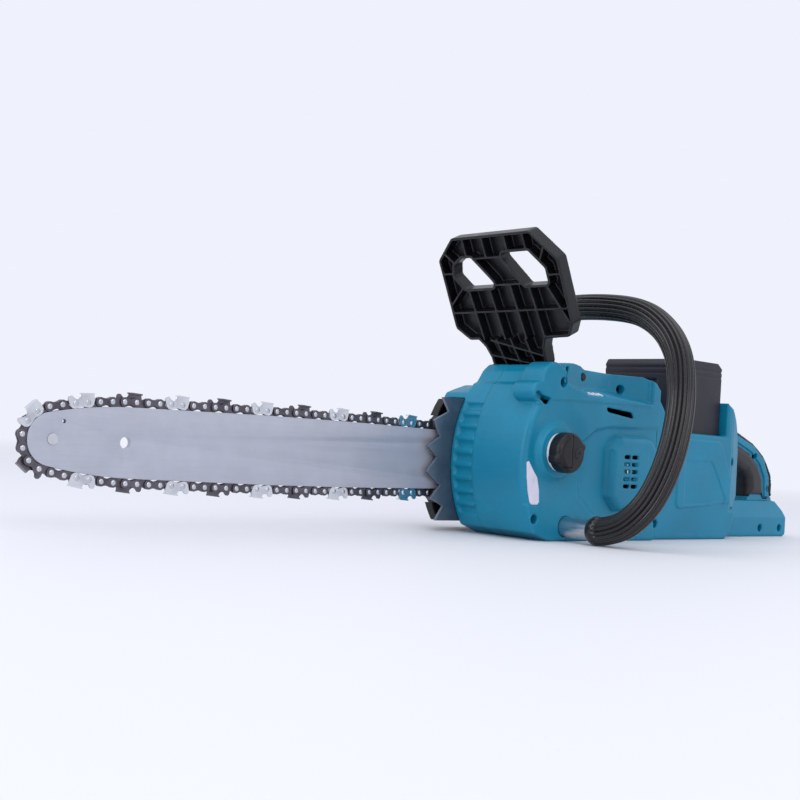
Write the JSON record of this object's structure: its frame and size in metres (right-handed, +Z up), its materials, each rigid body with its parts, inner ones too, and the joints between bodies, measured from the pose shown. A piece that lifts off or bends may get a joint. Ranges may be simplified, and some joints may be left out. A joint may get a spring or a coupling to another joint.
{
  "type": "chainsaw",
  "caption": "Battery chainsaw: round-fronted housings, guide bar and saw chain on the right, wrap-around front handle, rear D handle, swinging hand guard and lift-out battery.",
  "frame": {"origin": "on the ground under the drive sprocket, in the plane where the two housings part", "axes": "+X forward along the guide bar, +Y to the user's left, +Z up"},
  "size_m": [0.8568, 0.2559, 0.2609],
  "materials": {
    "teal_housing": "semi-matt moulded",
    "dark_screws": "black oxide",
    "cast_aluminium": "as cast",
    "bumper_steel": "blued, satin",
    "zinc_steel": "zinc plated",
    "black_plastic": "fine texture",
    "grey_plastic": "satin",
    "bar_paint": "satin lacquer",
    "bright_steel": "polished",
    "dark_steel": "oiled",
    "chain_steel": "blued and oiled",
    "cutter_chrome": "hard chrome",
    "motor_copper": "enamelled copper",
    "white_plastic": "natural",
    "window_plastic": "translucent",
    "seal_rubber": "matt",
    "guard_plastic": "moulded, semi-matt",
    "handle_aluminium": "bare tube",
    "sleeve_rubber": "semi-gloss, ribbed",
    "grip_rubber": "matt soft-touch",
    "board_green": "solder mask",
    "lamp_white": "clear",
    "battery_plastic": "fine texture",
    "cell_blue": "shrink sleeve",
    "contact_brass": "plated"
  },
  "bodies": {
    "powerhead": {"left_housing": "teal_housing", "right_housing": "teal_housing", "housing_screws": "dark_screws", "bearing_plate": "cast_aluminium", "spiked_bumper": "bumper_steel", "bumper_screws": "zinc_steel", "sprocket_cover": "black_plastic", "bar_studs": "zinc_steel", "tension_pin": "zinc_steel", "chain_catcher": "cast_aluminium", "guide_bar": "bar_paint", "bar_rivets": "bright_steel", "chain_drive_links": "chain_steel", "chain_tie_straps": "chain_steel", "chain_left_cutters": "cutter_chrome", "chain_right_cutters": "cutter_chrome", "chain_rivets": "bright_steel", "shaft_bearings": "bright_steel", "brake_band": "bright_steel", "motor_stator": "motor_copper", "motor_bearings": "bright_steel", "oil_tank": "white_plastic", "oil_filler_neck": "white_plastic", "oil_window": "window_plastic", "oil_pump": "cast_aluminium", "guard_pin": "bright_steel", "handle_tube": "handle_aluminium", "handle_sleeve": "sleeve_rubber", "handle_screws": "zinc_steel", "left_grip_rubber": "grip_rubber", "right_grip_rubber": "grip_rubber", "handle_pins": "bright_steel", "switch_body": "black_plastic", "control_board": "board_green", "charge_lamps": "lamp_white"},
    "drive": {"output_shaft": "bright_steel", "drive_sprocket": "dark_steel", "brake_drum": "dark_steel", "output_gear": "dark_steel"},
    "rotor": {"motor_shaft": "bright_steel", "motor_rotor": "dark_steel", "motor_pinion": "dark_steel", "cooling_fan": "black_plastic"},
    "nose_wheel": {"nose_sprocket": "dark_steel"},
    "knob": {"cover_knob": "black_plastic"},
    "dial": {"tension_dial": "grey_plastic"},
    "cap": {"oil_cap": "black_plastic", "oil_cap_seal": "seal_rubber"},
    "cap_lever": {"oil_cap_lever": "black_plastic"},
    "guard": {"hand_guard": "guard_plastic"},
    "trigger": {"trigger": "black_plastic"},
    "lock": {"lock_lever": "black_plastic"},
    "button": {"power_button": "black_plastic"},
    "battery": {"battery_case": "battery_plastic", "battery_cells": "cell_blue", "battery_terminals": "contact_brass"},
    "latch": {"battery_latch": "battery_plastic"}
  },
  "joints": [
    {"name": "guard_swing", "type": "hinge", "parent": "powerhead", "child": "guard", "pos_m": [0.012, 0.00725, 0.138], "axis": [0, 1, 0], "range_deg": [-18, 0]},
    {"name": "drive_spin", "type": "hinge", "parent": "powerhead", "child": "drive", "pos_m": [0, -0.02, 0.062], "axis": [0, 1, 0], "continuous": true},
    {"name": "rotor_spin", "type": "hinge", "parent": "powerhead", "child": "rotor", "pos_m": [-0.06, 0.02, 0.062], "axis": [0, 1, 0], "continuous": true},
    {"name": "nose_spin", "type": "hinge", "parent": "powerhead", "child": "nose_wheel", "pos_m": [0.4495, -0.034, 0.062], "axis": [0, 1, 0], "continuous": true},
    {"name": "knob_turn", "type": "hinge", "parent": "powerhead", "child": "knob", "pos_m": [0.043, -0.084, 0.062], "axis": [0, 1, 0], "continuous": true},
    {"name": "dial_turn", "type": "hinge", "parent": "powerhead", "child": "dial", "pos_m": [0.043, -0.077, 0.062], "axis": [0, 1, 0], "continuous": true},
    {"name": "cap_turn", "type": "hinge", "parent": "powerhead", "child": "cap", "pos_m": [0.038, 0.07, 0.075], "axis": [0, 1, 0], "continuous": true},
    {"name": "cap_lever_flip", "type": "hinge", "parent": "cap", "child": "cap_lever", "pos_m": [0.0402, 0.0768, 0.075], "axis": [0, 0, 1], "range_deg": [0, 85]},
    {"name": "trigger_pull", "type": "hinge", "parent": "powerhead", "child": "trigger", "pos_m": [-0.248, 0, 0.1], "axis": [0, 1, 0], "range_deg": [0, 12], "stiffness_Nm_per_rad": 1.2, "springref_deg": -8.59},
    {"name": "lock_press", "type": "hinge", "parent": "powerhead", "child": "lock", "pos_m": [-0.255, 0, 0.116], "axis": [0, 1, 0], "range_deg": [-10, 0], "stiffness_Nm_per_rad": 0.4, "springref_deg": 8.59},
    {"name": "button_press", "type": "slide", "parent": "powerhead", "child": "button", "axis": [0, -1, 0], "range_m": [0, 0.001], "stiffness_N_per_m": 200, "springref_m": -0.001},
    {"name": "battery_slide", "type": "slide", "parent": "powerhead", "child": "battery", "axis": [0, 0, 1], "range_m": [0, 0.12]},
    {"name": "latch_press", "type": "slide", "parent": "battery", "child": "latch", "axis": [0, 0, -1], "range_m": [0, 0.003], "stiffness_N_per_m": 300, "springref_m": -0.002}
  ],
  "couplings": [
    {"joint": "rotor_spin", "follows": "drive_spin", "ratio": -3.6},
    {"joint": "nose_spin", "follows": "drive_spin", "ratio": 0.66667}
  ]
}
